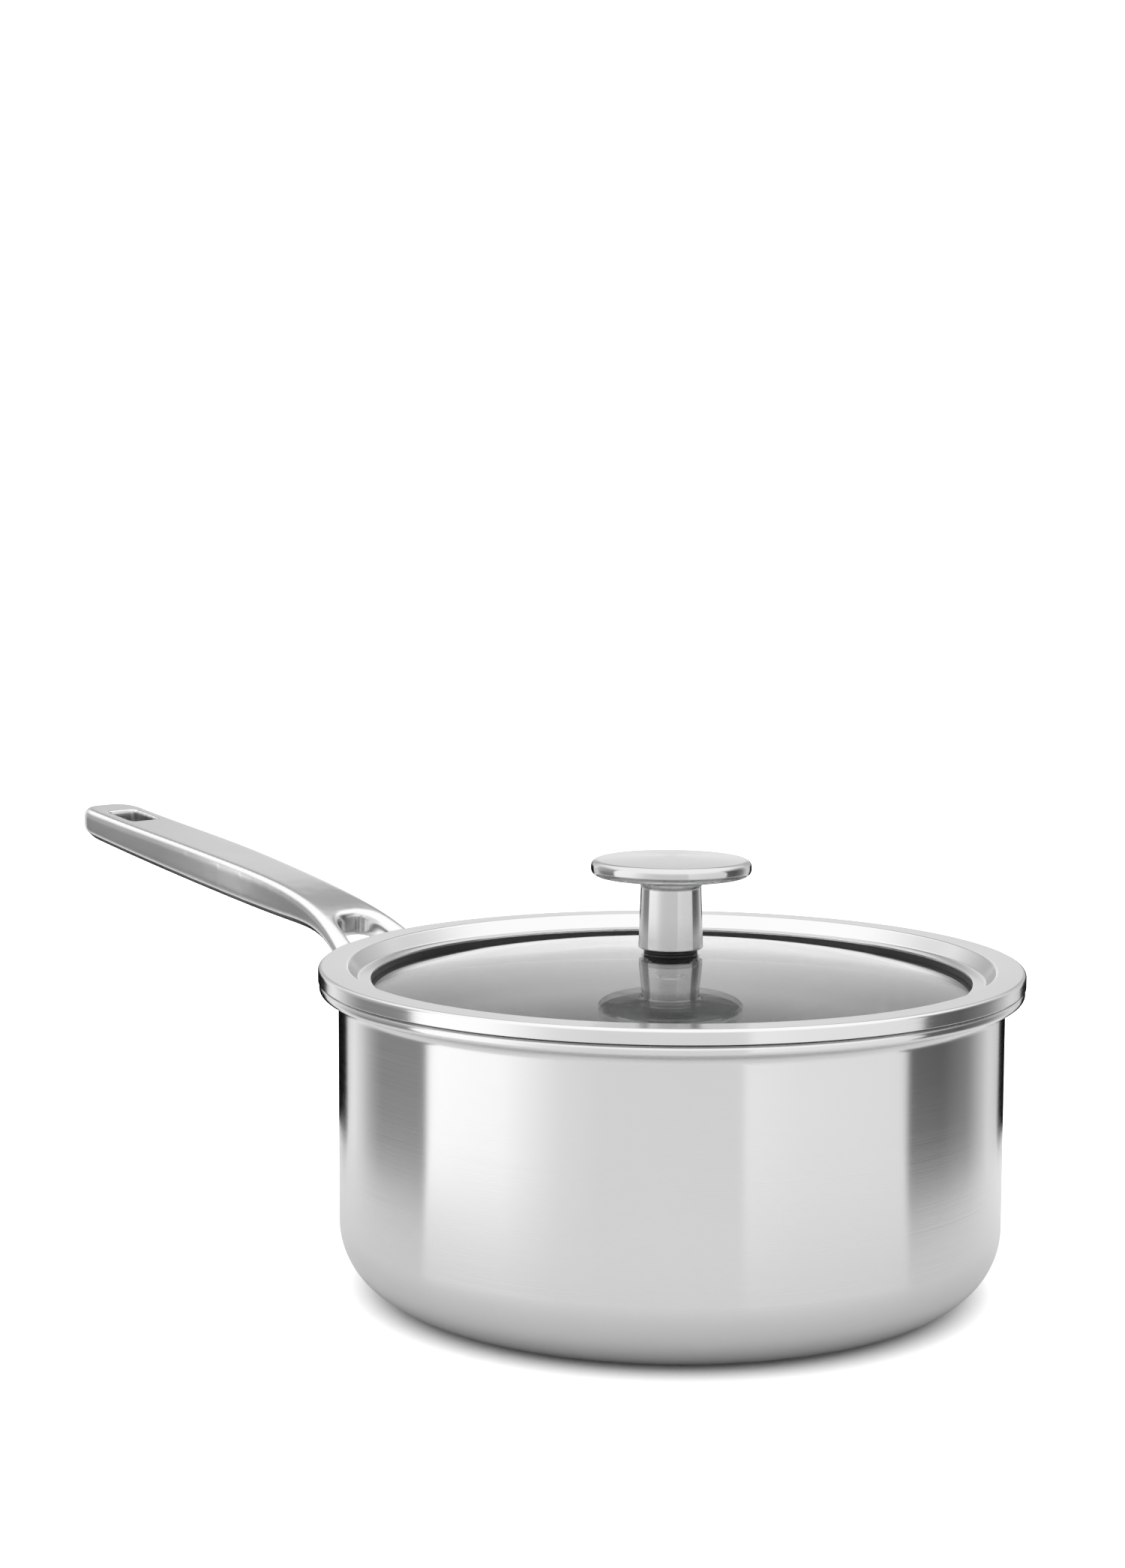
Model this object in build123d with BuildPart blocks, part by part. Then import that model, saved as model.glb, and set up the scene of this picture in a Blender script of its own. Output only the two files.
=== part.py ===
from build123d import *
import math
import os

# Saucepan with a flat-rimmed glass lid. Millimetres, +Z up. The origin is the centre of the
# base's underside, the handle points along -X and the lid stands on the pan's rolled rim.

os.makedirs("parts", exist_ok=True)

# Pan body: a steel, aluminium and steel sandwich drawn into a straight-sided pot
body_radius = 102.5
outer_steel = 0.5
aluminium_core = 1.5
inner_steel = 0.5
base_corner = 21.5
rim_height = 96.0
rim_overhang = 5.9
rim_bead = 3.5
flare_under_rim = 3.5
core_end_inset = 0.5

# Handle: one casting with a curved foot plate, two arms and a solid grip
handle_reach = 203.5
handle_root_drop = 44.0
handle_buried = 12.0
grip_half_width = 12.5
grip_waist_half_width = 11.6
grip_straight_length = 34.0
grip_end_corner = 9.0
arm_root_half_span = 28.0
arm_flare = 1.8
fork_root_half_width = 21.0
fork_reach = 52.5
fork_end_half_width = 7.6
fork_end_corner = 7.0
grip_top_round = 2.4
grip_bevel_height = 3.4
grip_bevel_width = 3.6
fork_bottom_round = 1.0
foot_half_width = 31.0
foot_height = 28.0
foot_thickness = 3.5
foot_corner = 8.0
hang_hole_length = 16.4
hang_hole_width = 12.4
hang_hole_corner = 1.6
hang_hole_from_tip = 20.5

# The handle's lines: distances from the pan's wall, with rises over the root or half widths
top_line = [(-handle_buried, -4.0), (0, 8), (22.5, 27.5), (47.5, 44.7), (67.5, 52.0), (97.5, 58.2)]
top_grip = [(137.5, 64.2), (handle_reach, 73.3)]
bottom_line = [(-handle_buried, -15.0), (0, -3), (22.5, 17.4), (44.5, 34.4), (57.5, 39.4), (77.5, 42.0)]
bottom_grip = [(115.5, 47.3), (handle_reach, 62.1)]
arm_line = [(0, arm_root_half_span), (18, 24.2), (40, 18.0), (57.5, 13.8)]
grip_line = [(77.5, grip_waist_half_width), (110, 11.9)]
arm_root_slope = 0.12

# Rivets through the foot plate and the wall
rivet_radius = 2.5
rivet_side_angle = 6.2
rivet_inner_head_radius = 5.5
rivet_inner_head_height = 1.8
rivet_outer_head_radius = 4.5
rivet_outer_head_height = 1.5
rivet_head_round = 0.8

# Lid: two stamped rings hemmed together round the gasket and the glass
lid_gap = 0.3
lid_sheet = 0.7
lid_edge_overhang = 0.3
lid_edge_height = 4.3
lid_flat_width = 9.0
lid_step_width = 3.1
lid_step_drop = 4.2
lid_flange_width = 4.0
mouth_clearance = 0.7
plug_depth = 9.6
shelf_width = 5.7
lid_edge_bend = 1.2
lid_step_bend = 1.1

# Glass and gasket
glass_thickness = 4.0
gasket_edge = 1.6
glass_dome_radius = 455.0
glass_below_window = 1.8
glass_hole_radius = 4.0
glass_edge_round = 0.8

# Knob and its fixing
knob_disc_radius = 24.8
knob_disc_side = 4.6
knob_disc_edge = 2.2
knob_dome_rise = 1.4
knob_height = 29.5
knob_underside_drop = 7.9
knob_stem_radius = 9.3
knob_stem_foot_radius = 10.0
knob_neck_round = 2.5
knob_foot_chamfer_width = 1.8
knob_foot_chamfer_height = 1.0
knob_thread_depth = 14.0
washer_radius = 8.3
washer_height = 1.0
washer_groove = 0.3
screw_radius = 2.5
seal_washer_radius = 9.0
seal_washer_height = 1.5
steel_washer_radius = 8.0
steel_washer_height = 1.2
screw_head_radius = 4.75
screw_head_height = 3.2
screw_slot_width = 1.2
screw_slot_depth = 1.5
screw_end_gap = 1.5
screw_head_round = 0.8

# Places worked out from the sizes above
wall = outer_steel + aluminium_core + inner_steel
inner_radius = body_radius - wall
corner_centre = body_radius - base_corner
bead_radius = rim_bead / 2
bead_centre = body_radius + rim_overhang - bead_radius
inner_flare = bead_centre - inner_radius
outer_flare_centre = (body_radius + flare_under_rim, rim_height - rim_bead - flare_under_rim)
inner_flare_centre = (bead_centre, rim_height - inner_flare)
core_end_radius = body_radius + flare_under_rim - core_end_inset
root_height = rim_height - handle_root_drop
foot_face_radius = body_radius + foot_thickness
rivet_places = [
    Plane(
        origin=(0, 0, root_height),
        z_dir=(-math.cos(math.radians(angle)), math.sin(math.radians(angle)), 0),
    )
    for angle in (-rivet_side_angle, rivet_side_angle)
]
outward = (Align.CENTER, Align.CENTER, Align.MIN)
through_wall = body_radius + rim_overhang


def finish(piece, name):
    piece.part.label = name
    export_step(piece.part, f"parts/{name}.step")


def sheet_face(face_radius, flare_centre, end_radius):
    """Draws one face of the drawn sheet: base, corner, wall, then the flare as far as end_radius."""
    corner = face_radius - corner_centre
    flare = flare_centre[0] - face_radius
    turn = 90 - math.degrees(math.asin((flare_centre[0] - end_radius) / flare))
    Line((0, base_corner - corner), (corner_centre, base_corner - corner))
    CenterArc((corner_centre, base_corner), corner, -90, 90)
    Line((face_radius, base_corner), (face_radius, flare_centre[1]))
    return CenterArc(flare_centre, flare, 180, -turn)


def bonded_layer(inside_radius, inside_flare, outside_radius, outside_flare):
    """Draws the closed outline of a layer that stops inside the rolled rim."""
    inside_end = sheet_face(inside_radius, inside_flare, core_end_radius)
    outside_end = sheet_face(outside_radius, outside_flare, core_end_radius)
    Line(inside_end @ 1, outside_end @ 1)
    Line(
        (0, base_corner - (inside_radius - corner_centre)),
        (0, base_corner - (outside_radius - corner_centre)),
    )


def drill_rivet_holes():
    with Locations(*rivet_places):
        Cylinder(rivet_radius, through_wall, align=outward, mode=Mode.SUBTRACT)


# Outer steel sheet, thickened at its edge into the solid bead that closes the rim
with BuildPart() as outer_ply:
    with BuildSketch(Plane.XZ):
        with BuildLine():
            core_side = sheet_face(body_radius - outer_steel, outer_flare_centre, core_end_radius)
            shown_side = sheet_face(body_radius, outer_flare_centre, outer_flare_centre[0])
            bead = CenterArc((bead_centre, rim_height - bead_radius), bead_radius, -90, 180)
            Line(shown_side @ 1, bead @ 0)
            rim_turn = math.degrees(math.asin((bead_centre - core_end_radius) / inner_flare))
            rim_top = CenterArc(inner_flare_centre, inner_flare, 90, rim_turn)
            Line(rim_top @ 1, core_side @ 1)
            Line((0, 0), (0, outer_steel))
        make_face()
    revolve(axis=Axis.Z)
    drill_rivet_holes()
finish(outer_ply, "outer_ply")

# Aluminium core, closed in by the two steel sheets and the bead
core_inside_radius = inner_radius + inner_steel
with BuildPart() as core_ply:
    with BuildSketch(Plane.XZ):
        with BuildLine():
            bonded_layer(
                core_inside_radius, inner_flare_centre, body_radius - outer_steel, outer_flare_centre
            )
        make_face()
    revolve(axis=Axis.Z)
    drill_rivet_holes()
finish(core_ply, "core_ply")

# Inner steel sheet, the cooking side, flush with the bead at its edge
with BuildPart() as inner_ply:
    with BuildSketch(Plane.XZ):
        with BuildLine():
            bonded_layer(inner_radius, inner_flare_centre, core_inside_radius, inner_flare_centre)
        make_face()
    revolve(axis=Axis.Z)
    drill_rivet_holes()
finish(inner_ply, "inner_ply")

# Curved foot plate that the handle's arms stand on
with BuildPart() as foot_plate:
    with BuildSketch(Plane.YZ):
        with Locations((0, root_height)):
            RectangleRounded(2 * foot_half_width, foot_height, foot_corner)
    extrude(amount=-foot_face_radius)
    Cylinder(foot_face_radius, rim_height, align=outward, mode=Mode.INTERSECT)


def reach(distance):
    """X of a point of the handle at a distance from the pan's wall."""
    return -(body_radius + distance)


def middle_face(place):
    """The handle's lower face (place 0) or upper face (place -1), which cross its middle plane."""
    curved = handle.faces().filter_by(GeomType.EXTRUSION)
    return curved.filter_by(lambda face: abs(face.center().Y) < 1).sort_by(Axis.Z)[place]


def free_edges(face):
    """A long face's edges, less those buried in the foot plate."""
    return face.edges().filter_by(lambda line: line.center().X < -inner_radius)


# Handle casting: its side view trimmed to its plan, forked, bevelled, rounded and bored
with BuildPart() as handle:
    with BuildSketch(Plane.XZ.offset(-foot_half_width)):
        with BuildLine():
            top = Spline([(reach(x), root_height + z) for x, z in top_line + top_grip])
            under = Spline([(reach(x), root_height + z) for x, z in bottom_line + bottom_grip])
            Line(top @ 0, under @ 0)
            Line(top @ 1, under @ 1)
        make_face()
    extrude(amount=2 * foot_half_width)
    with BuildSketch(Plane.XY) as plan:
        with BuildLine():
            edge = Spline(
                (reach(-handle_buried), arm_root_half_span + arm_flare),
                *[(reach(x), half_width) for x, half_width in arm_line + grip_line],
                (reach(handle_reach - grip_straight_length), grip_half_width),
                tangents=[(-1, -arm_root_slope), (-1, 0)],
            )
            Line(edge @ 0, (reach(-handle_buried), 0))
            Line((reach(-handle_buried), 0), (reach(handle_reach), 0))
            Polyline((reach(handle_reach), 0), (reach(handle_reach), grip_half_width), edge @ 1)
        make_face()
        mirror(about=Plane.XZ)
        fillet(plan.vertices().group_by(Axis.X)[0], grip_end_corner)
    extrude(amount=2 * rim_height, mode=Mode.INTERSECT)
    with BuildSketch(Plane.XY) as fork:
        with BuildLine():
            Polyline(
                (reach(-handle_buried), -fork_root_half_width),
                (reach(fork_reach), -fork_end_half_width),
                (reach(fork_reach), fork_end_half_width),
                (reach(-handle_buried), fork_root_half_width),
                close=True,
            )
        make_face()
        fillet(fork.vertices().group_by(Axis.X)[0], fork_end_corner)
    extrude(amount=2 * rim_height, mode=Mode.SUBTRACT)
    lower_edges = free_edges(middle_face(0))
    outer_edges = lower_edges.filter_by(lambda line: line.center().X < reach(fork_reach + fork_end_half_width))
    chamfer(outer_edges, grip_bevel_width, grip_bevel_height, reference=middle_face(0))
    fillet(free_edges(middle_face(-1)), grip_top_round)
    fork_edges = free_edges(middle_face(0)).filter_by(
        lambda line: line.center().X > reach(fork_reach + fork_end_half_width)
    )
    fillet(fork_edges, fork_bottom_round)
    with BuildSketch(Plane.XY):
        with Locations((reach(handle_reach - hang_hole_from_tip), 0)):
            RectangleRounded(hang_hole_length, hang_hole_width, hang_hole_corner)
    extrude(amount=2 * rim_height, mode=Mode.SUBTRACT)
    add(foot_plate.part)
    Cylinder(body_radius, rim_height, align=outward, mode=Mode.SUBTRACT)
    drill_rivet_holes()
finish(handle, "handle")

# Space between the rivets' two heads: the wall with the foot plate on it
with BuildPart() as gripped_wall:
    Cylinder(foot_face_radius, rim_height, align=outward)
    Cylinder(inner_radius, rim_height, align=outward, mode=Mode.SUBTRACT)

# Rivets: a flat head inside the pan, and the shank's end set into a smaller head on the foot plate
inner_head_start = inner_radius - rivet_inner_head_height
outer_head_end = foot_face_radius + rivet_outer_head_height
with BuildPart() as handle_rivets:
    with Locations(*[place.offset(inner_head_start) for place in rivet_places]):
        Cylinder(rivet_inner_head_radius, rivet_inner_head_height + wall / 2, align=outward)
    with Locations(*[place.offset(body_radius) for place in rivet_places]):
        Cylinder(rivet_outer_head_radius, outer_head_end - body_radius, align=outward)
    free_rims = handle_rivets.edges().filter_by(
        lambda rim: rim.geom_type == GeomType.CIRCLE
        and not inner_head_start + 0.1 < math.hypot(rim.arc_center.X, rim.arc_center.Y) < outer_head_end - 0.1
    )
    fillet(free_rims, rivet_head_round)
    add(gripped_wall.part, mode=Mode.SUBTRACT)
    with Locations(*[place.offset(inner_head_start) for place in rivet_places]):
        Cylinder(rivet_radius, outer_head_end - inner_head_start, align=outward)
finish(handle_rivets, "handle_rivets")

# Heights and radii of the lid
lid_seat = rim_height + lid_gap
lid_top = lid_seat + lid_edge_height
lid_edge_radius = body_radius + rim_overhang + lid_edge_overhang
lid_flat_end = lid_edge_radius - lid_flat_width
lid_window_radius = lid_flat_end - lid_step_width - lid_flange_width
window_top = lid_top - lid_step_drop
window_under = window_top - lid_sheet
plug_radius = inner_radius - mouth_clearance
shelf_window_radius = plug_radius - shelf_width
gasket_radius = plug_radius - lid_sheet
glass_edge_radius = gasket_radius - gasket_edge
plug_foot = lid_seat - plug_depth
shelf_top = plug_foot + lid_sheet

# Cover ring: skirt, flat land, step down and the flange that holds the gasket
with BuildPart() as lid_ring_top:
    with BuildSketch(Plane.XZ):
        with BuildLine():
            FilletPolyline(
                (lid_edge_radius, lid_seat),
                (lid_edge_radius, lid_top),
                (lid_flat_end, lid_top),
                (lid_flat_end - lid_step_width, window_top),
                (lid_window_radius, window_top),
                radius=[lid_edge_bend, lid_step_bend, lid_step_bend],
            )
            offset(amount=lid_sheet, side=Side.LEFT)
        make_face()
    revolve(axis=Axis.Z)
finish(lid_ring_top, "lid_ring_top")

# Under ring: rests on the rim, plugs the mouth and carries the glass on its inner shelf
with BuildPart() as lid_ring_base:
    with BuildSketch(Plane.XZ):
        with BuildLine():
            FilletPolyline(
                (lid_edge_radius - lid_sheet, lid_seat),
                (plug_radius, lid_seat),
                (plug_radius, plug_foot),
                (shelf_window_radius, plug_foot),
                radius=lid_edge_bend,
            )
            offset(amount=lid_sheet, side=Side.RIGHT)
        make_face()
    revolve(axis=Axis.Z)
finish(lid_ring_base, "lid_ring_base")


def dome_drop(radius):
    """How far the glass's upper face has fallen below its crown at a radius."""
    return glass_dome_radius - math.sqrt(glass_dome_radius**2 - radius**2)


# Glass: a shallow tempered dome, bored for the knob's screw
glass_crown = window_under - glass_below_window + dome_drop(lid_window_radius)
glass_edge = glass_crown - dome_drop(glass_edge_radius)
with BuildPart() as lid_glass:
    with BuildSketch(Plane.XZ):
        with BuildLine():
            upper = RadiusArc(
                (0, glass_crown), (glass_edge_radius, glass_edge), glass_dome_radius
            )
            lower = RadiusArc(
                (0, glass_crown - glass_thickness),
                (glass_edge_radius, glass_edge - glass_thickness),
                glass_dome_radius,
            )
            Line(upper @ 0, lower @ 0)
            Line(upper @ 1, lower @ 1)
        make_face()
    revolve(axis=Axis.Z)
    edge_face = lid_glass.faces().filter_by(GeomType.CYLINDER)[0]
    fillet(edge_face.edges().filter_by(GeomType.CIRCLE), glass_edge_round)
    with Locations((0, 0, plug_foot)):
        Cylinder(glass_hole_radius, lid_top, align=outward, mode=Mode.SUBTRACT)
finish(lid_glass, "lid_glass")

# Gasket: a silicone channel round the glass's edge, held between the two rings
with BuildPart() as lid_gasket:
    with BuildSketch(Plane.XZ) as channel:
        with BuildLine():
            Polyline(
                (lid_window_radius, window_under),
                (gasket_radius, window_under),
                (gasket_radius, shelf_top),
                (shelf_window_radius, shelf_top),
                (shelf_window_radius, glass_edge - glass_thickness / 2),
                (lid_window_radius, glass_edge - glass_thickness / 2),
                close=True,
            )
        make_face()
        fillet(channel.vertices().sort_by_distance((gasket_radius, shelf_top))[0], lid_edge_bend)
    revolve(axis=Axis.Z)
    add(lid_glass.part, mode=Mode.SUBTRACT)
finish(lid_gasket, "lid_gasket")

# Knob: turned steel, a domed disc on a stem with a blind threaded hole
knob_foot = glass_crown + washer_height
knob_top = knob_foot + knob_height
disc_top = knob_top - knob_dome_rise
disc_under = knob_top - knob_underside_drop
with BuildPart() as knob:
    with BuildSketch(Plane.XZ) as knob_half:
        with BuildLine():
            dome_radius = (knob_disc_radius**2 + knob_dome_rise**2) / (2 * knob_dome_rise)
            RadiusArc((0, knob_top), (knob_disc_radius, disc_top), dome_radius)
            Polyline(
                (knob_disc_radius, disc_top),
                (knob_disc_radius, disc_top - knob_disc_side),
                (knob_stem_radius, disc_under),
                (knob_stem_foot_radius, knob_foot + knob_foot_chamfer_height),
                (knob_stem_foot_radius - knob_foot_chamfer_width, knob_foot),
                (0, knob_foot),
                (0, knob_top),
            )
        make_face()
        fillet(knob_half.vertices().group_by(Axis.X)[-1], knob_disc_edge)
        fillet(knob_half.vertices().sort_by_distance((knob_stem_radius, disc_under))[0], knob_neck_round)
    revolve(axis=Axis.Z)
    with Locations((0, 0, knob_foot)):
        Cylinder(screw_radius, knob_thread_depth, align=outward, mode=Mode.SUBTRACT)
finish(knob, "knob")

# Silicone washer under the knob, with a sleeve that keeps the screw off the glass
glass_underside = glass_crown - glass_thickness
with BuildPart() as knob_washer:
    with BuildSketch(Plane.XZ):
        with BuildLine():
            Polyline(
                (screw_radius, glass_underside),
                (glass_hole_radius, glass_underside),
                (glass_hole_radius, glass_crown - washer_groove),
                (washer_radius, glass_crown - washer_groove),
                (washer_radius, glass_crown + washer_groove),
                (washer_radius - washer_groove, knob_foot - washer_height / 2),
                (washer_radius, knob_foot - washer_groove),
                (washer_radius, knob_foot),
                (screw_radius, knob_foot),
                close=True,
            )
        make_face()
    revolve(axis=Axis.Z)
    add(lid_glass.part, mode=Mode.SUBTRACT)
finish(knob_washer, "knob_washer")

# Silicone washer under the glass
with BuildPart() as seal_washer:
    with Locations((0, 0, glass_underside - seal_washer_height)):
        Cylinder(seal_washer_radius, seal_washer_height, align=outward)
        Cylinder(screw_radius, seal_washer_height, align=outward, mode=Mode.SUBTRACT)
    add(lid_glass.part, mode=Mode.SUBTRACT)
finish(seal_washer, "seal_washer")

# Steel washer that spreads the screw's pull
steel_washer_foot = glass_underside - seal_washer_height - steel_washer_height
with BuildPart() as steel_washer:
    with Locations((0, 0, steel_washer_foot)):
        Cylinder(steel_washer_radius, steel_washer_height, align=outward)
        Cylinder(screw_radius, steel_washer_height, align=outward, mode=Mode.SUBTRACT)
finish(steel_washer, "steel_washer")

# Screw: cheese head with a cross slot, threaded into the knob
screw_end = knob_foot + knob_thread_depth - screw_end_gap
screw_head_foot = steel_washer_foot - screw_head_height
with BuildPart() as knob_screw:
    with Locations((0, 0, screw_head_foot)):
        Cylinder(screw_head_radius, screw_head_height, align=outward)
        fillet(knob_screw.edges().sort_by(Axis.Z)[0], screw_head_round)
        Cylinder(screw_radius, screw_end - screw_head_foot, align=outward)
        for turn in (0, 90):
            Box(
                2 * screw_head_radius,
                screw_slot_width,
                screw_slot_depth,
                rotation=(0, 0, turn),
                align=outward,
                mode=Mode.SUBTRACT,
            )
finish(knob_screw, "knob_screw")
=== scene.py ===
import math
import bmesh
import bpy
from mathutils import Matrix, Vector


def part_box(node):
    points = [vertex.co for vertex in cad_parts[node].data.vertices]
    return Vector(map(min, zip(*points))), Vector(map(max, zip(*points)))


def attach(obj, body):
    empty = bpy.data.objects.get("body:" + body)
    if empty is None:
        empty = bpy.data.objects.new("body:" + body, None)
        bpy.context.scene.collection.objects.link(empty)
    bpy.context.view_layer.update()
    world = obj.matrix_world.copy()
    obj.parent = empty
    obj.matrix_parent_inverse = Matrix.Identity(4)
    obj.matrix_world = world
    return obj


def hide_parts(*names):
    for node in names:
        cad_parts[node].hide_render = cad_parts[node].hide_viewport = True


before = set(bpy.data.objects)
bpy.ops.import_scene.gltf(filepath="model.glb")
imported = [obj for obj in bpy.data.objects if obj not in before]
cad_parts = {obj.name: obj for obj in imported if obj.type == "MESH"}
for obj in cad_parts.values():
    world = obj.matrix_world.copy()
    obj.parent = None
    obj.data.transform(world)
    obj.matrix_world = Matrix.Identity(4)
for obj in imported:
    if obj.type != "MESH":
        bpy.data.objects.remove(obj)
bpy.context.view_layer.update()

# Pan, outer sheet: one round of bonded steel drawn over a punch, so its base, corner and wall
# are one piece. It is polished round and round, which leaves fine level lines in the steel.
pan_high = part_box("outer_ply")[1]
wall_radius = 0.1025
outer_sheet = 0.0005
base_corner = 0.0215
corner_centre = wall_radius - base_corner
rim_radius = pan_high.x
rim_height = pan_high.z
rim_bead = 0.0035
bead_radius = rim_bead / 2
bead_centre = rim_radius - bead_radius
outer_flare = 0.0035
outer_flare_centre = (wall_radius + outer_flare, rim_height - rim_bead - outer_flare)


def straight(start, end, hold=0.0002):
    """A straight stretch of an outline, with a point held close to each end so that it shades flat."""
    length = math.dist(start, end)
    share = min(hold / length, 0.25) if length else 0
    return [
        (start[0] + (end[0] - start[0]) * t, start[1] + (end[1] - start[1]) * t)
        for t in (0, share, 1 - share, 1)
    ]


def bend(centre, radius, start, end, steps=10):
    """A round stretch of an outline, from one angle to another in degrees."""
    turns = [math.radians(start + (end - start) * i / steps) for i in range(steps + 1)]
    return [(centre[0] + radius * math.cos(a), centre[1] + radius * math.sin(a)) for a in turns]


def turned(name, outline, closed=False, around=288):
    """Turns an outline of (radius, height) points round the pan's axis into a piece of quads."""
    points = []
    for point in outline:
        if not points or math.dist(point, points[-1]) > 1e-6:
            points.append(point)
    if closed and math.dist(points[0], points[-1]) < 1e-6:
        points.pop()
    mesh = bmesh.new()
    rings = []
    for radius, height in points:
        if radius < 1e-6:
            rings.append([mesh.verts.new((0, 0, height))])
            continue
        angles = [math.tau * i / around for i in range(around)]
        ring = [(radius * math.cos(a), radius * math.sin(a), height) for a in angles]
        rings.append([mesh.verts.new(place) for place in ring])
    pairs = list(zip(rings, rings[1:] + rings[:1] if closed else rings[1:]))
    for lower, upper in pairs:
        for i in range(around):
            j = (i + 1) % around
            below, above = len(lower), len(upper)
            corners = [lower[i % below], lower[j % below], upper[j % above], upper[i % above]]
            corners = list(dict.fromkeys(corners))
            if len(corners) > 2:
                mesh.faces.new(corners)
    return as_piece(name, mesh)


def as_piece(name, mesh):
    """Closes off a mesh: faces turned outwards, smooth shading, and an object of that name."""
    bmesh.ops.recalc_face_normals(mesh, faces=mesh.faces)
    data = bpy.data.meshes.new(name)
    mesh.to_mesh(data)
    mesh.free()
    for face in data.polygons:
        face.use_smooth = True
    piece = bpy.data.objects.new(name, data)
    bpy.context.scene.collection.objects.link(piece)
    return piece


def fit(piece, body, material_slot, material, *nodes):
    """Puts a finished piece in place of its CAD nodes."""
    piece.data.materials.append(material)
    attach(piece, body)
    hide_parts(*nodes)


def sheet_face(face_radius, flare_centre, end_radius):
    """One face of the drawn sheet from the middle of the base up to the flare under the rim."""
    corner = face_radius - corner_centre
    flare = flare_centre[0] - face_radius
    turn = 90 - math.degrees(math.asin(max(0.0, (flare_centre[0] - end_radius) / flare)))
    return (
        straight((0.0, base_corner - corner), (corner_centre, base_corner - corner))
        + bend((corner_centre, base_corner), corner, -90, 0, 24)
        + straight((face_radius, base_corner), (face_radius, flare_centre[1]))
        + bend(flare_centre, flare, 180, 180 - turn, 12)
    )


def plug(tree, made, inputs):
    """Fills a shader node's inputs, with plain values or with other nodes' outputs."""
    for name, value in inputs.items():
        if isinstance(value, bpy.types.NodeSocket):
            tree.links.new(value, made.inputs[name])
        else:
            made.inputs[name].default_value = value


def node(tree, kind, inputs=None, **settings):
    """Adds a shader node with its inputs and settings."""
    made = tree.nodes.new("ShaderNode" + kind)
    for name, value in settings.items():
        setattr(made, name, value)
    plug(tree, made, inputs or {})
    return made


def new_finish(name):
    """A new material, with its node tree and its shader."""
    material = bpy.data.materials.new(name)
    material.use_nodes = True
    return material, material.node_tree, material.node_tree.nodes["Principled BSDF"]


def tint(tree, share, colour, dark, light):
    """A colour that goes from a darker to a lighter shade of itself along a value."""
    darker = (*[c * dark for c in colour], 1)
    lighter = (*[min(1, c * light) for c in colour], 1)
    mix = node(tree, "Mix", {"Factor": share, "A": darker, "B": lighter}, data_type="RGBA")
    return mix.outputs["Result"]


def steel(name, colour, roughness, anisotropy, lines, line_depth, streaks=0.03):
    """Steel worked round and round: fine lines that follow the turning, and faint uneven polish."""
    material, tree, shader = new_finish(name)
    place = node(tree, "TexCoord").outputs["Object"]
    split = node(tree, "SeparateXYZ", {0: place}).outputs
    flat = node(tree, "CombineXYZ", {"X": split["X"], "Y": split["Y"]}).outputs[0]
    radius = node(tree, "VectorMath", {0: flat}, operation="LENGTH").outputs["Value"]
    across = node(tree, "CombineXYZ", {"X": radius, "Y": split["Z"]}).outputs[0]
    fine = node(tree, "VectorMath", {0: across, "Scale": lines}, operation="SCALE").outputs[0]
    slow = (9.0, 9.0, 9.0)
    drift = node(tree, "VectorMath", {0: flat, 1: slow, 2: fine}, operation="MULTIPLY_ADD").outputs[0]
    grain_look = {"Vector": drift, "Scale": 1.0, "Detail": 3.0, "Roughness": 0.7}
    grain = node(tree, "TexNoise", grain_look).outputs["Fac"]
    cloud = node(tree, "TexNoise", {"Vector": place, "Scale": 28.0, "Detail": 2.0}).outputs["Fac"]
    shine_range = {"From Min": 0.3, "From Max": 0.7, "To Min": roughness * 0.8, "To Max": roughness * 1.25}
    shine = node(tree, "MapRange", {"Value": grain, **shine_range}).outputs["Result"]
    half = node(tree, "Math", {0: cloud, 1: 0.5}, operation="MULTIPLY").outputs[0]
    both = node(tree, "Math", {0: grain, 1: 0.5, 2: half}, operation="MULTIPLY_ADD").outputs[0]
    bump = node(tree, "Bump", {"Height": grain, "Distance": line_depth, "Strength": 1.0})
    round_about = node(tree, "Tangent", direction_type="RADIAL", axis="Z")
    plug(tree, shader, {
        "Metallic": 1.0,
        "Anisotropic": anisotropy,
        "Anisotropic Rotation": 0.25,
        "Roughness": shine,
        "Base Color": tint(tree, both, colour, 1 - streaks, 1 + streaks),
        "Normal": bump.outputs["Normal"],
        "Tangent": round_about.outputs[0],
    })
    return material


polished_wall = steel("polished_wall", (0.66, 0.66, 0.66), 0.16, 1.0, 3200.0, 0.000006)
core_end = wall_radius + outer_flare - 0.0005
inner_radius = 0.1
inner_flare_centre = (bead_centre, rim_height - (bead_centre - inner_radius))
rim_turn = math.degrees(math.asin((bead_centre - core_end) / (bead_centre - inner_radius)))
outer_sheet_piece = turned(
    "pan_outer_sheet",
    sheet_face(wall_radius, outer_flare_centre, outer_flare_centre[0])
    + bend((bead_centre, rim_height - bead_radius), bead_radius, -90, 90, 20)
    + bend(inner_flare_centre, bead_centre - inner_radius, 90, 90 + rim_turn, 4)
    + list(reversed(sheet_face(wall_radius - outer_sheet, outer_flare_centre, core_end))),
)
fit(outer_sheet_piece, "pan", "outer_steel", polished_wall, "outer_ply")

# Pan, inner sheet: the cooking side, drawn together with the outer sheet and bonded to the core.
# It is satin finished and ends flush with the polished bead, so no edge of it stands up.
inner_sheet = 0.0005
satin_inside = steel("satin_inside", (0.46, 0.46, 0.46), 0.16, 0.95, 3000.0, 0.000004)
inner_sheet_piece = turned(
    "pan_inner_sheet",
    sheet_face(inner_radius, inner_flare_centre, core_end)
    + list(reversed(sheet_face(inner_radius + inner_sheet, inner_flare_centre, core_end))),
)
fit(inner_sheet_piece, "pan", "inner_steel", satin_inside, "inner_ply")

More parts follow.
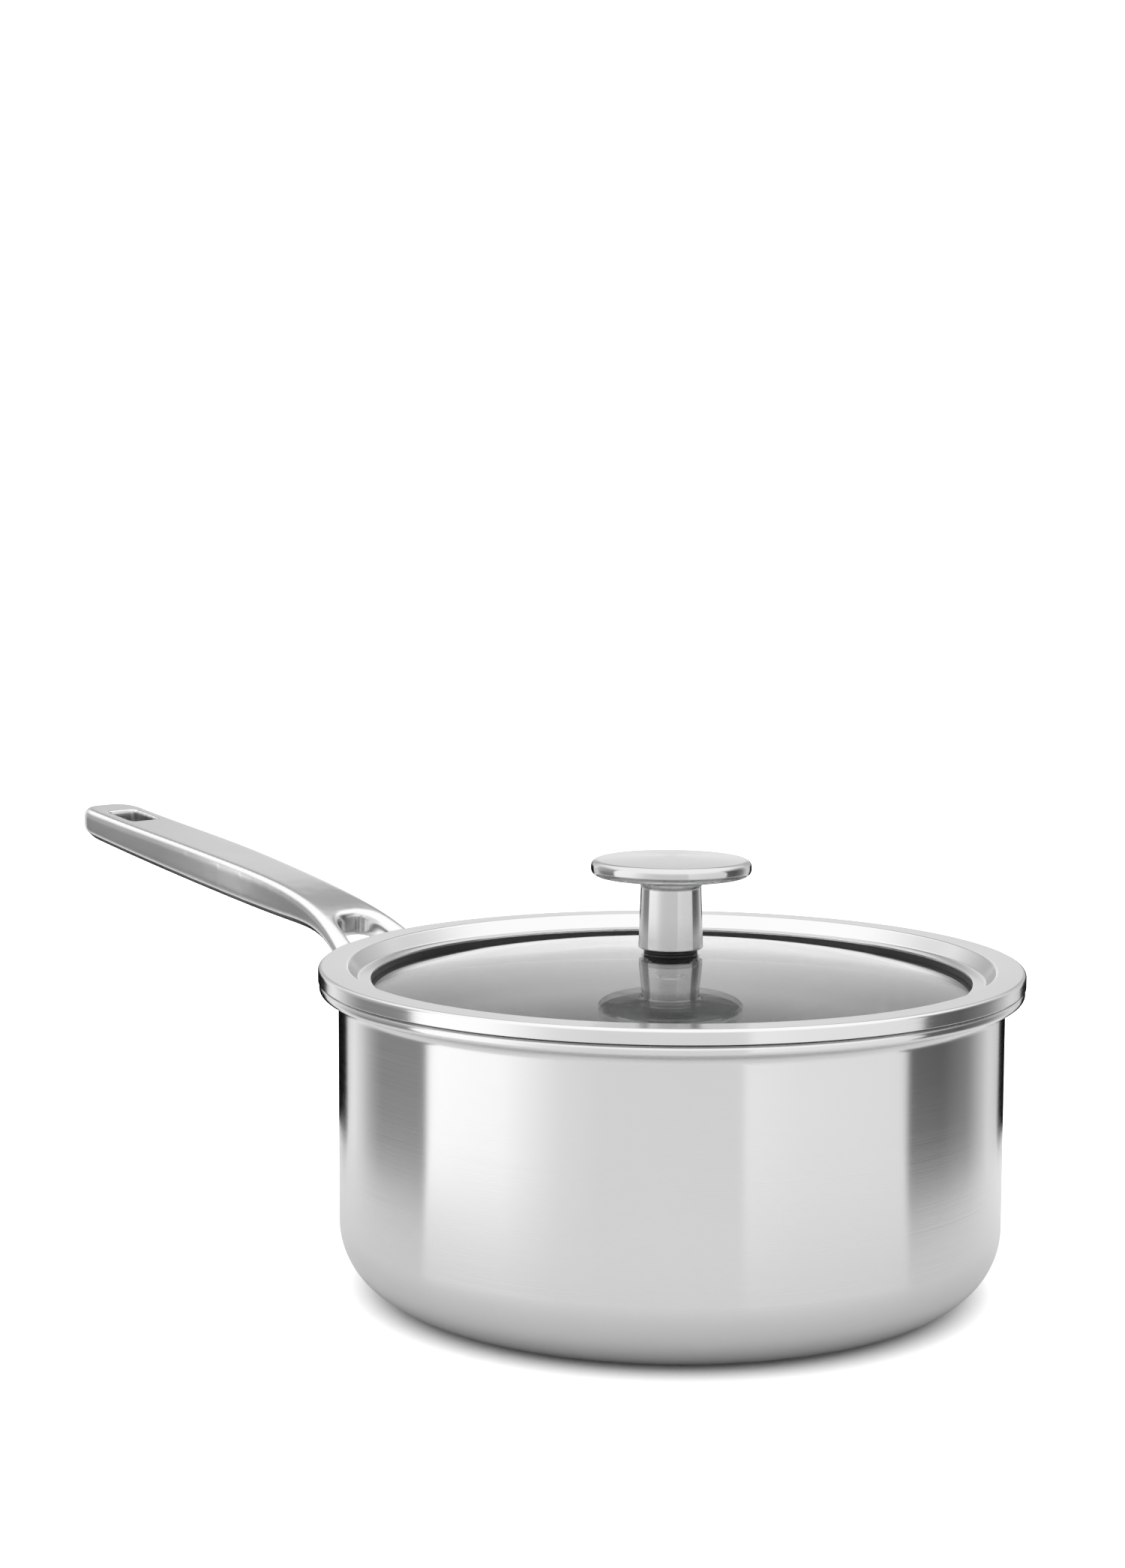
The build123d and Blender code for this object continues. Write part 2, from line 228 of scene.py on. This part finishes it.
# Pan, core: rolled aluminium between the two steel sheets, which spreads the heat.
# It is roll-bonded to both of them and closed in all round, so none of it is seen.
rolled_aluminium = steel("rolled_aluminium", (0.75, 0.75, 0.76), 0.4, 0.3, 900.0, 0.000001)


def wear(node_name, material):
    """Gives a cut piece that is shown as it is a material of its own."""
    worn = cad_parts[node_name].data.materials
    worn.clear()
    worn.append(material)


wear("core_ply", rolled_aluminium)

# Handle: one steel casting with a grip, two arms and a foot plate that sits on the pan's wall.
# Its corners are left soft by the casting and by the satin finish, which is ground along the grip.
# The hang hole is cut after the tumbling, so its edges stay crisper than the rest.
hole_middle, hole_room = -0.2855, 0.0098
hole_half_width = 0.0078
above_handle = 0.2
hole_zone = (
    (hole_middle - hole_room, -hole_half_width, 0.0),
    (hole_middle + hole_room, hole_half_width, above_handle),
)
tumbled_rounds, hole_rounds = 26, 5


def softened(name, node_name, grain, rounds, crisp, crisp_rounds):
    """A copy of a cut piece with its corners worn round, as tumbling leaves them, less so inside crisp."""
    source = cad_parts[node_name]
    piece = bpy.data.objects.new(name, source.data.copy())
    piece.matrix_world = source.matrix_world
    bpy.context.scene.collection.objects.link(piece)
    remesh = piece.modifiers.new("remesh", "REMESH")
    remesh.mode = "VOXEL"
    remesh.voxel_size = grain
    shape = piece.evaluated_get(bpy.context.evaluated_depsgraph_get())
    mesh = bmesh.new()
    mesh.from_mesh(shape.to_mesh())
    mesh.transform(source.matrix_world)
    bpy.data.objects.remove(piece)
    low, high = crisp
    kept = [v for v in mesh.verts if all(low[i] < v.co[i] < high[i] for i in range(3))]
    free = list(set(mesh.verts) - set(kept))
    every_way = {"use_axis_x": True, "use_axis_y": True, "use_axis_z": True}
    for i in range(rounds):
        worn = free if i >= crisp_rounds else mesh.verts
        bmesh.ops.smooth_vert(mesh, verts=worn, factor=0.5, **every_way)
    return as_piece(name, mesh)


def ground(name, colour, roughness, across, along, line_depth):
    """Satin steel ground lengthways along the handle, with long fine lines and slow uneven tone."""
    material, tree, shader = new_finish(name)
    place = node(tree, "TexCoord").outputs["Object"]
    stretch = node(tree, "VectorMath", {0: place, 1: (along, across, across)}, operation="MULTIPLY")
    grain_look = {"Vector": stretch.outputs[0], "Scale": 1.0, "Detail": 2.0}
    grain = node(tree, "TexNoise", grain_look).outputs["Fac"]
    cloud = node(tree, "TexNoise", {"Vector": place, "Scale": 45.0, "Detail": 1.0}).outputs["Fac"]
    shine_range = {"From Min": 0.3, "From Max": 0.7, "To Min": roughness * 0.92, "To Max": roughness * 1.1}
    shine = node(tree, "MapRange", {"Value": cloud, **shine_range}).outputs["Result"]
    bump = node(tree, "Bump", {"Height": grain, "Distance": line_depth})
    plug(tree, shader, {
        "Metallic": 1.0,
        "Roughness": shine,
        "Base Color": tint(tree, grain, colour, 0.95, 1.04),
        "Normal": bump.outputs["Normal"],
    })
    return material


cast_steel = ground("cast_steel", (0.7, 0.7, 0.7), 0.2, 1500.0, 90.0, 0.000002)
handle_piece = softened("pan_handle", "handle", 0.0004, tumbled_rounds, hole_zone, hole_rounds)
fit(handle_piece, "pan", "cast_steel", cast_steel, "handle")

# Rivets: two solid steel rivets that go through the wall and hold the handle's foot plate.
# Their domed heads show inside the pan, with the dull even finish the setting tool leaves.
rivet_steel = steel("rivet_steel", (0.6, 0.6, 0.6), 0.28, 0.0, 1500.0, 0.000001)
wear("handle_rivets", rivet_steel)

# Lid, under ring: a steel ring pressed from sheet that lies on the pan's rim and steps down
# inside it, and carries the gasket and the glass. It is spot welded under the cover ring.
lid_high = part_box("lid_ring_top")[1]
lid_edge_height = 0.0043
lid_seat = lid_high.z - lid_edge_height
base_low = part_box("lid_ring_base")[0]
lid_sheet = 0.0007
plug_radius = 0.0993
shelf_radius = 0.0936
ring_bend = 0.0012
lid_steel = steel("lid_steel", (0.68, 0.68, 0.68), 0.18, 0.8, 2600.0, 0.000006)


def rounded(corners, radii, steps=8):
    """An outline of straight stretches whose corners are rounded, each to its own radius."""
    points = [corners[0]]
    for before, corner, after, radius in zip(corners, corners[1:], corners[2:], radii):
        a, b, c = Vector(before), Vector(corner), Vector(after)
        back, on = (a - b).normalized(), (c - b).normalized()
        half_turn = back.angle(on) / 2
        run = radius / math.tan(half_turn)
        centre = b + (back + on).normalized() * (radius / math.sin(half_turn))
        start, end = b + back * run, b + on * run
        first = math.atan2(*reversed(start - centre))
        turn = (math.atan2(*reversed(end - centre)) - first + math.pi) % math.tau - math.pi
        points += straight(points[-1], tuple(start))[1:]
        points += bend(centre, radius, math.degrees(first), math.degrees(first + turn), steps)[1:]
    return points + straight(points[-1], corners[-1])[1:]


def folded_sheet(corners, radii, thickness, side):
    """The closed outline of a pressed sheet: its shown face, and the other face a thickness away."""
    shown = rounded(corners, radii)
    moved = []
    for before, corner, after in zip(corners[:1] + corners, corners, corners[1:] + corners[-1:]):
        a, b, c = Vector(before), Vector(corner), Vector(after)
        first = (b - a).normalized() if (b - a).length else (c - b).normalized()
        second = (c - b).normalized() if (c - b).length else first
        normal = (Vector((-first.y, first.x)) + Vector((-second.y, second.x))).normalized()
        stretch = thickness / max(0.2, normal.dot(Vector((-first.y, first.x))))
        moved.append(tuple(b + normal * stretch * side))
    hidden_radii = []
    for i, radius in enumerate(radii, 1):
        a, b, c = Vector(corners[i - 1]), Vector(corners[i]), Vector(corners[i + 1])
        left_turn = (b - a).cross(c - b) > 0
        hidden_radii.append(radius - thickness if left_turn == (side > 0) else radius + thickness)
    hidden = rounded(moved, hidden_radii)
    return shown + straight(shown[-1], hidden[-1], 0.0001) + list(reversed(hidden))


under_ring = turned(
    "lid_under_ring",
    folded_sheet(
        [
            (lid_high.x - lid_sheet, lid_seat),
            (plug_radius, lid_seat),
            (plug_radius, base_low.z),
            (shelf_radius, base_low.z),
        ],
        [ring_bend, ring_bend],
        lid_sheet,
        -1,
    ),
    closed=True,
)
fit(under_ring, "lid", "lid_steel", lid_steel, "lid_ring_base")

# Lid, cover ring: a brushed steel ring pressed from sheet, with a flat land, a step down to
# the glass and an edge turned down over the under ring. It holds the glass from above.
land_width = 0.009
step_width = 0.0031
step_drop = 0.0042
window_radius = 0.0926
cover_ring = turned(
    "lid_cover_ring",
    folded_sheet(
        [
            (lid_high.x, lid_seat),
            (lid_high.x, lid_high.z),
            (lid_high.x - land_width, lid_high.z),
            (lid_high.x - land_width - step_width, lid_high.z - step_drop),
            (window_radius, lid_high.z - step_drop),
        ],
        [ring_bend, 0.0011, 0.0011],
        lid_sheet,
        1,
    ),
    closed=True,
)
fit(cover_ring, "lid", "lid_steel", lid_steel, "lid_ring_top")

# Lid, glass: a shallow dome of clear tempered glass with a ground edge and a hole for the
# knob's screw. Slumping it over a mould leaves it very slightly wavy.
glass_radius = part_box("lid_glass")[1].x
window_under = lid_high.z - step_drop - lid_sheet
dome_radius = 0.455
glass_thickness = 0.004
glass_hole = 0.004
glass_edge_round = 0.0008
glass_below_window = 0.0018
window_rise = dome_radius - math.sqrt(dome_radius**2 - window_radius**2)
glass_crown = window_under - glass_below_window + window_rise


def on_dome(radius):
    """A point of the glass's upper face, at that distance from its middle."""
    return (radius, glass_crown - dome_radius + math.sqrt(dome_radius**2 - radius**2))


glass_span = glass_radius - glass_edge_round - glass_hole
upper_glass = [on_dome(glass_hole + glass_span * i / 32) for i in range(33)]
lower_glass = [(r, z - glass_thickness) for r, z in upper_glass]
edge_x, edge_top = upper_glass[-1]
edge_foot = edge_top - glass_thickness + glass_edge_round
glass_outline = (
    upper_glass
    + bend((edge_x, edge_top - glass_edge_round), glass_edge_round, 84, 0, 6)
    + bend((edge_x, edge_foot), glass_edge_round, 0, -84, 6)
    + list(reversed(lower_glass))
)
clear_glass, tree, shader = new_finish("clear_glass")
place = node(tree, "TexCoord").outputs["Object"]
waves = node(tree, "TexNoise", {"Vector": place, "Scale": 22.0, "Detail": 1.0}).outputs["Fac"]
faint_green = {"A": (0.95, 0.97, 0.965, 1), "B": (0.97, 0.98, 0.975, 1)}
glass_colour = node(tree, "Mix", {"Factor": waves, **faint_green}, data_type="RGBA")
wavy = node(tree, "Bump", {"Height": waves, "Distance": 0.00004})
plug(tree, shader, {
    "Base Color": glass_colour.outputs["Result"],
    "Roughness": 0.0,
    "IOR": 1.5,
    "Transmission Weight": 1.0,
    "Normal": wavy.outputs["Normal"],
})
glass = turned("lid_glass_dome", glass_outline, closed=True)
fit(glass, "lid", "lid_glass", clear_glass, "lid_glass")

# Gasket: a ring of black silicone rubber moulded round the edge of the glass, which beds the
# glass between the two steel rings and keeps them from touching it.
black_silicone, tree, shader = new_finish("black_silicone")
place = node(tree, "TexCoord").outputs["Object"]
speckle = node(tree, "TexNoise", {"Vector": place, "Scale": 1400.0, "Detail": 3.0}).outputs["Fac"]
rubber_shades = {"A": (0.008, 0.008, 0.008, 1), "B": (0.02, 0.02, 0.021, 1)}
bloom = node(tree, "Mix", {"Factor": speckle, **rubber_shades}, data_type="RGBA")
sheen = node(tree, "MapRange", {"Value": speckle, "To Min": 0.36, "To Max": 0.56})
moulded = node(tree, "Bump", {"Height": speckle, "Distance": 0.00002})
plug(tree, shader, {
    "Base Color": bloom.outputs["Result"],
    "Roughness": sheen.outputs["Result"],
    "Normal": moulded.outputs["Normal"],
})
wear("lid_gasket", black_silicone)

# Knob's fixing: a silicone washer under the knob and another under the glass, then a steel
# washer and a dome-headed steel screw that runs up through the glass into the knob.
wear("knob_washer", black_silicone)
wear("seal_washer", black_silicone)
wear("steel_washer", rivet_steel)
wear("knob_screw", rivet_steel)

# Knob: a solid steel mushroom turned in one piece and satin finished, hollow only for the
# screw's thread. Its disc has a rounded edge and its stem widens a little towards the foot.
knob_low, knob_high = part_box("knob")
knob_steel = steel("knob_steel", (0.58, 0.58, 0.58), 0.15, 0.85, 2600.0, 0.0000012, 0.012)
knob_radius = knob_high.x
dome_rise = 0.0014
disc_top = knob_high.z - dome_rise
disc_side = 0.0046
disc_edge = 0.0022
disc_under = knob_high.z - 0.0079
stem_radius = 0.0093
stem_foot_radius = 0.01
foot_chamfer = (0.0018, 0.001)
neck_round = 0.0025
knob_dome = (knob_radius**2 + dome_rise**2) / (2 * dome_rise)
thread_radius = 0.0025
thread_depth = 0.014
dome_points = [
    (r, knob_high.z - knob_dome + math.sqrt(knob_dome**2 - r**2))
    for r in [(knob_radius - 1.2 * disc_edge) * i / 10 for i in range(11)]
]
knob_outline = (
    dome_points
    + rounded(
        [
            dome_points[-1],
            (knob_radius, disc_top),
            (knob_radius, disc_top - disc_side),
            (stem_radius, disc_under),
            (stem_foot_radius, knob_low.z + foot_chamfer[1]),
            (stem_foot_radius - foot_chamfer[0], knob_low.z),
            (thread_radius, knob_low.z),
        ],
        [disc_edge, disc_edge, neck_round, 0.0003, 0.0003],
    )[1:]
    + straight((thread_radius, knob_low.z), (thread_radius, knob_low.z + thread_depth))
    + straight((thread_radius, knob_low.z + thread_depth), (0, knob_low.z + thread_depth))
)
knob = turned("lid_knob", knob_outline, around=160)
fit(knob, "lid", "knob_steel", knob_steel, "knob")

# Studio: a plain pale floor, and a grey patch of it near the pan that only the steel reflects.
# The room is soft and white, with grey panels to the left, to the right and behind, and black
# flags between them that give round steel its dark edges. One broad diffuser hangs overhead.
view_bearing = math.radians(43.5)


def floor_disc(name, size, height, shade):
    """A round of plain painted floor."""
    mesh = bmesh.new()
    bmesh.ops.create_circle(mesh, cap_ends=True, segments=96, radius=size)
    bmesh.ops.translate(mesh, verts=mesh.verts, vec=(0, 0, height))
    data = bpy.data.meshes.new(name)
    mesh.to_mesh(data)
    mesh.free()
    disc = bpy.data.objects.new(name, data)
    bpy.context.scene.collection.objects.link(disc)
    paint, tree, shader = new_finish(name)
    paint_look = {"Base Color": (shade, shade, shade, 1), "Roughness": 0.6, "Specular IOR Level": 0.0}
    plug(tree, shader, paint_look)
    data.materials.append(paint)
    return disc


floor = floor_disc("studio_floor", 40.0, -0.0004, 0.93)
floor.visible_glossy = False
table = floor_disc("table_near_pan", 0.26, -0.0002, 0.48)
table.visible_camera = False
table.visible_shadow = False
table.visible_diffuse = False

world = bpy.data.worlds.new("studio_room")
bpy.context.scene.world = world
world.use_nodes = True
tree = world.node_tree
direction = node(tree, "TexCoord").outputs["Generated"]
to_view = {"Vector": direction, "Angle": -view_bearing}
facing = node(tree, "VectorRotate", to_view, rotation_type="Z_AXIS").outputs["Vector"]
parts = node(tree, "SeparateXYZ", {0: facing}).outputs


def times(value, other):
    """One value times another, or times a plain number."""
    return node(tree, "Math", {0: value, 1: other}, operation="MULTIPLY").outputs[0]


def shades(value, marks):
    """A ramp of grey tones along a value, from a list of (value, tone)."""
    ramp = node(tree, "ValToRGB", {"Fac": value})
    stops = ramp.color_ramp.elements
    while len(stops) < len(marks):
        stops.new(0.5)
    for stop, (mark, tone) in zip(stops, marks):
        stop.position = mark
    for stop, (mark, tone) in zip(stops, marks):
        stop.color = (tone, tone, tone, 1)
    return ramp.outputs["Color"]


def hang(room, share, tone):
    """The room with a panel of one grey tone hung in it, wherever share is 1."""
    panel = {"Factor": share, "A": room, "B": (tone, tone, tone, 1)}
    return node(tree, "Mix", panel, data_type="RGBA").outputs["Result"]


bearing = node(tree, "Math", {0: parts["X"], 1: times(parts["Y"], -1.0)}, operation="ARCTAN2").outputs[0]
full_round = {"Value": bearing, "From Min": -math.pi, "From Max": math.pi}
round_room = node(tree, "MapRange", full_round).outputs["Result"]


def round_the_room(marks):
    """Grey tones round the horizon: degrees from the camera, positive to its right."""
    return shades(round_room, [((angle + 180) / 360, tone) for angle, tone in marks])


walls = round_the_room([
    (-180, 0.78), (-173, 0.66), (-165, 0.42), (-157, 0.5), (-138, 0.85), (-126, 0.52), (-106, 0.38),
    (-89.9, 0.34), (-89.3, 1.2), (-58, 1.13), (-36, 0.82), (-22, 0.75), (24, 0.74), (24.5, 0.93),
    (45, 0.87), (85.7, 0.83), (86.3, 0.12), (104, 0.1), (120, 0.22), (138, 0.7), (157, 0.5),
    (165, 0.42), (173, 0.66), (180, 0.78),
])
flags = round_the_room([
    (-180, 0), (-174, 0), (-173, 1), (-147, 1), (-146, 0),
    (151, 0), (152, 1), (173, 1), (174, 0), (180, 0),
])
floor_range = {"Value": parts["Z"], "From Min": 0.05, "From Max": 0.0}
near_floor = node(tree, "MapRange", floor_range).outputs["Result"]
ceiling_starts, ceiling_full = math.sin(math.radians(20)), math.sin(math.radians(42))
ceiling_range = {"Value": parts["Z"], "From Min": ceiling_starts, "From Max": ceiling_full}
overhead = node(tree, "MapRange", ceiling_range).outputs["Result"]
behind = round_the_room([(-180, 1), (-162, 1), (-150, 0), (150, 0), (162, 1), (180, 1)])
hung_high = shades(parts["Z"], [(0.37, 0), (0.52, 1), (0.62, 1), (0.72, 0)])
at_left = round_the_room([(-180, 0), (-128, 0), (-116, 1), (-91, 1), (-90, 0), (180, 0)])
hung_low = shades(times(parts["Z"], -1.0), [(0.0, 0), (0.08, 1), (0.3, 1), (0.4, 0)])
room = hang(walls, times(flags, near_floor), 0.0)
room = hang(room, overhead, 1.12)
room = hang(room, times(behind, hung_high), 0.3)
room = hang(room, times(at_left, hung_low), 0.23)
plug(tree, tree.nodes["Background"], {"Color": room, "Strength": 1.28})
backdrop = node(tree, "Background", {"Color": (1, 1, 1, 1), "Strength": 1.1}).outputs[0]
seen = node(tree, "LightPath").outputs["Is Camera Ray"]
lit_room = tree.nodes["Background"].outputs[0]
shown = node(tree, "MixShader", {"Fac": seen, 1: lit_room, 2: backdrop}).outputs[0]
plug(tree, tree.nodes["World Output"], {"Surface": shown})

light_data = bpy.data.lights.new("overhead_diffuser", "SUN")
light_data.angle = math.radians(120)
light_data.energy = 2.6
light = bpy.data.objects.new("overhead_diffuser", light_data)
light.visible_glossy = False
bpy.context.scene.collection.objects.link(light)
bpy.context.scene.view_settings.view_transform = "Standard"

camera_data = bpy.data.cameras.new("camera")
camera_data.lens = 61.55
camera = bpy.data.objects.new("camera", camera_data)
bpy.context.scene.collection.objects.link(camera)
bpy.context.scene.camera = camera
camera_distance = 0.8203
camera_height = 0.2398
heading = view_bearing + math.radians(2.35)
tilt = math.radians(90 - 5.85)
roll = math.radians(0.21)
stands = (
    camera_distance * math.sin(view_bearing),
    -camera_distance * math.cos(view_bearing),
    camera_height,
)
turn = Matrix.Rotation(heading, 4, "Z") @ Matrix.Rotation(tilt, 4, "X") @ Matrix.Rotation(roll, 4, "Z")
camera.matrix_world = Matrix.Translation(Vector(stands)) @ turn
